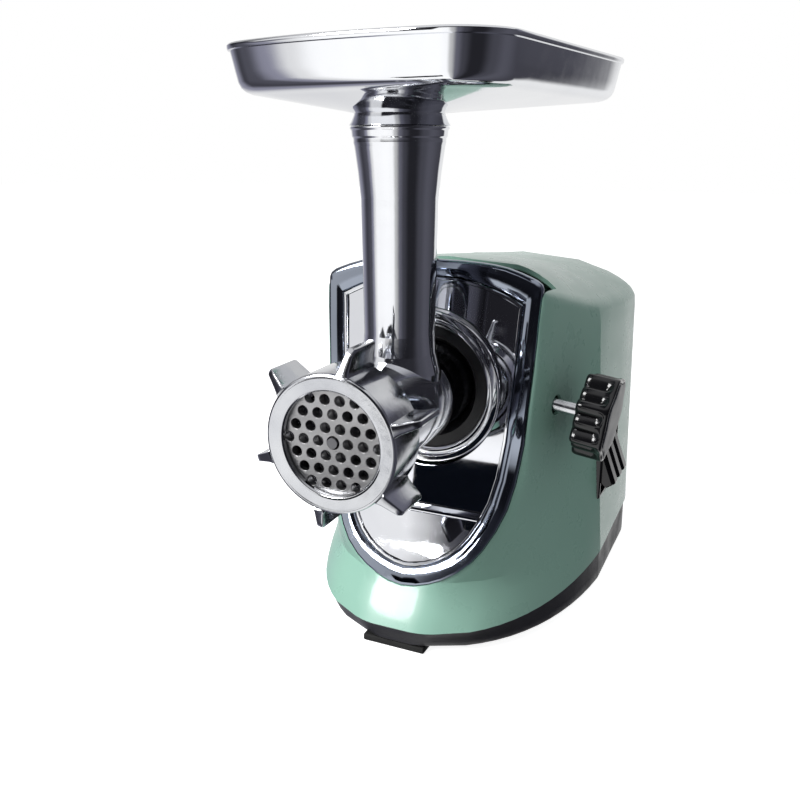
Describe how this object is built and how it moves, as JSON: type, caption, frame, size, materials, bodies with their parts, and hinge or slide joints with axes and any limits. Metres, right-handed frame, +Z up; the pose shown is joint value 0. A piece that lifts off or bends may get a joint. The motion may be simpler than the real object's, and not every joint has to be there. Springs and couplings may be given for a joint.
{
  "type": "electric meat grinder",
  "caption": "Countertop electric meat grinder with a motor housing, a removable grinding head with a feed tube and screw-on ring, and a lift-off tray.",
  "frame": {"origin": "on the table top under the machine, in the middle plane of the barrel, half way between the front of the ring nut and the rear wall", "axes": "+Z up, -Y towards the perforated plate, +X towards the lock knob"},
  "size_m": [0.2102, 0.334, 0.354],
  "materials": {
    "shell_green": "satin gloss moulded plastic, mint green",
    "base_dark": "fine matt moulded plastic, charcoal",
    "foot_rubber": "matt rubber",
    "frame_black": "dark bright plating, black chrome",
    "trim_chrome": "bright plated line",
    "panel_mirror": "bright plated mirror finish",
    "socket_black": "satin black plastic",
    "insert_brass": "machined brass",
    "gear_plastic": "natural engineering plastic",
    "shaft_steel": "machined steel",
    "case_metal": "cast, as made",
    "lamination_steel": "stacked electrical steel",
    "winding_copper": "enamelled copper wire",
    "fan_black": "moulded black plastic",
    "head_aluminium": "polished casting",
    "plate_steel": "ground steel",
    "ring_aluminium": "polished casting",
    "tray_steel": "mirror polished stainless sheet",
    "knob_black": "glossy black plastic",
    "cap_grey": "smooth dark grey plastic"
  },
  "bodies": {
    "housing": {"housing_shell": "shell_green", "base_pan": "base_dark", "foot_front": "foot_rubber", "foot_rear_left": "foot_rubber", "foot_rear_right": "foot_rubber", "front_frame": "frame_black", "frame_trim": "trim_chrome", "upper_mirror": "panel_mirror", "lower_mirror": "panel_mirror", "socket_collar": "trim_chrome", "socket_cup": "socket_black", "lock_insert": "insert_brass", "gearbox_front": "case_metal", "gearbox_rear": "case_metal", "idler_shaft": "shaft_steel", "motor_stator": "lamination_steel", "field_coil_upper": "winding_copper", "field_coil_lower": "winding_copper", "brush_holder_left": "insert_brass", "brush_holder_right": "insert_brass", "motor_bracket": "case_metal", "switch_bezel": "knob_black", "switch_body": "base_dark", "cord_gland": "foot_rubber"},
    "output": {"output_gear": "gear_plastic", "output_shaft": "shaft_steel"},
    "idler": {"idler_gear": "shaft_steel"},
    "rotor": {"rotor_shaft": "shaft_steel", "rotor_core": "lamination_steel", "commutator": "winding_copper", "motor_fan": "fan_black", "motor_pinion": "shaft_steel"},
    "head": {"head_barrel": "head_aluminium"},
    "auger": {"auger": "head_aluminium", "knife": "plate_steel"},
    "plate": {"cutting_plate": "plate_steel"},
    "ring": {"ring_nut": "ring_aluminium"},
    "tray": {"tray": "tray_steel"},
    "lock_screw": {"lock_screw": "shaft_steel"},
    "knob": {"lock_knob": "knob_black", "knob_cap": "cap_grey"},
    "rocker": {"switch_rocker": "knob_black"}
  },
  "joints": [
    {"name": "rotor_spin", "type": "hinge", "parent": "housing", "child": "rotor", "pos_m": [0, 0.079, 0.0665], "axis": [0, 1, 0], "continuous": true},
    {"name": "idler_spin", "type": "hinge", "parent": "housing", "child": "idler", "pos_m": [0, 0.029, 0.104], "axis": [0, 1, 0], "continuous": true},
    {"name": "output_spin", "type": "hinge", "parent": "housing", "child": "output", "pos_m": [0, 0.019, 0.16], "axis": [0, 1, 0], "continuous": true},
    {"name": "head_pull", "type": "slide", "parent": "housing", "child": "head", "axis": [0, -1, 0], "range_m": [0, 0.045]},
    {"name": "auger_spin", "type": "hinge", "parent": "head", "child": "auger", "pos_m": [0, -0.101, 0.16], "axis": [0, 1, 0], "continuous": true},
    {"name": "plate_slide", "type": "slide", "parent": "head", "child": "plate", "axis": [0, -1, 0], "range_m": [0, 0.024]},
    {"name": "ring_turn", "type": "hinge", "parent": "plate", "child": "ring", "pos_m": [0, -0.146, 0.16], "axis": [0, -1, 0], "range_deg": [0, 2161]},
    {"name": "tray_lift", "type": "slide", "parent": "head", "child": "tray", "axis": [0, 0, 1], "range_m": [0, 0.04]},
    {"name": "screw_slide", "type": "slide", "parent": "housing", "child": "lock_screw", "axis": [0.9903, 0, -0.1392], "range_m": [0, 0.012]},
    {"name": "knob_turn", "type": "hinge", "parent": "lock_screw", "child": "knob", "pos_m": [0.09903, -0.008, 0.14608], "axis": [0.9903, 0, -0.1392], "range_deg": [0, 2161]},
    {"name": "rocker_tilt", "type": "hinge", "parent": "housing", "child": "rocker", "pos_m": [0.08974, 0.075, 0.097], "axis": [0, 1, 0], "range_deg": [0, 18]}
  ],
  "couplings": [
    {"joint": "idler_spin", "follows": "rotor_spin", "ratio": -0.25},
    {"joint": "output_spin", "follows": "rotor_spin", "ratio": 0.068182},
    {"joint": "auger_spin", "follows": "rotor_spin", "ratio": 0.068182},
    {"joint": "ring_turn", "follows": "plate_slide", "rad_per_m": 1570.8},
    {"joint": "knob_turn", "follows": "screw_slide", "rad_per_m": 3141.6}
  ]
}
